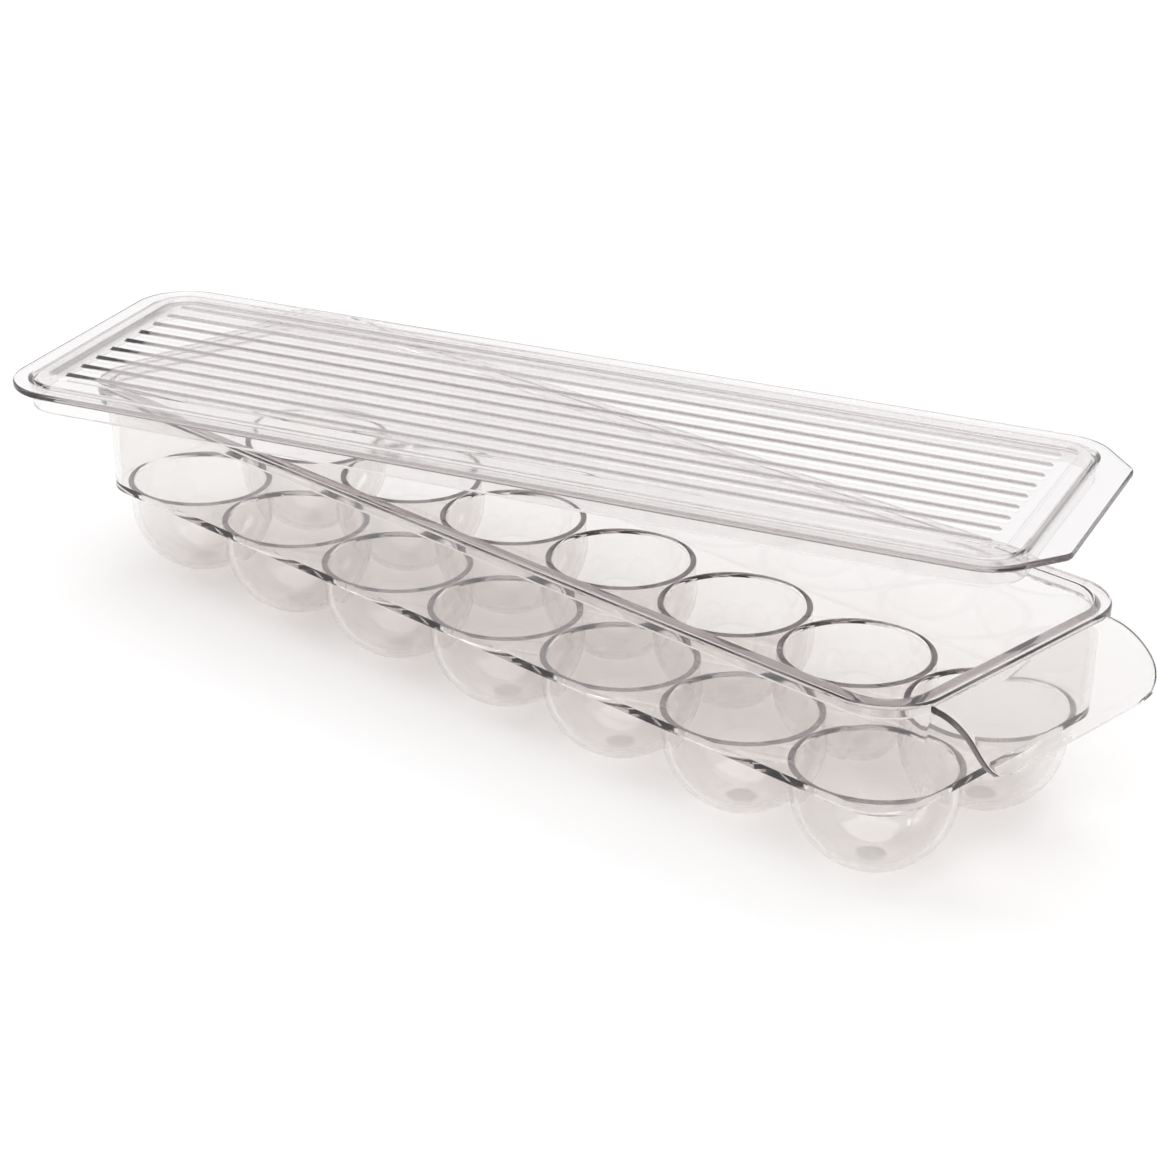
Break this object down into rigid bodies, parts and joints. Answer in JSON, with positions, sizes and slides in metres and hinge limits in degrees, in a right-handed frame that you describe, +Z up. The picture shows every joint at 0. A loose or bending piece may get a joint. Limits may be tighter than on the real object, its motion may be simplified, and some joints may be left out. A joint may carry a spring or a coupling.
{
  "type": "egg keeper",
  "caption": "Clear fridge egg tray with rows of round cups, a curved pull handle at the end and a ribbed lift-off lid lying askew on the rim.",
  "frame": {"origin": "on the foot under the middle cup of the near row, in the plane of all the cup feet", "axes": "+X along the rows towards the pull handle, +Y from the near row to the far one, +Z up out of the cups"},
  "size_m": [0.4005, 0.214, 0.0762],
  "materials": {
    "tray_plastic": "clear injection-moulded polystyrene, polished",
    "lid_plastic": "clear injection-moulded polystyrene, polished, with moulded ribs"
  },
  "bodies": {
    "tray": {"tray": "tray_plastic"},
    "lid": {"lid": "lid_plastic"}
  },
  "joints": [
    {"name": "lid_lift", "type": "slide", "parent": "tray", "child": "lid", "axis": [0, 0, 1], "range_m": [0, 0.1]}
  ]
}
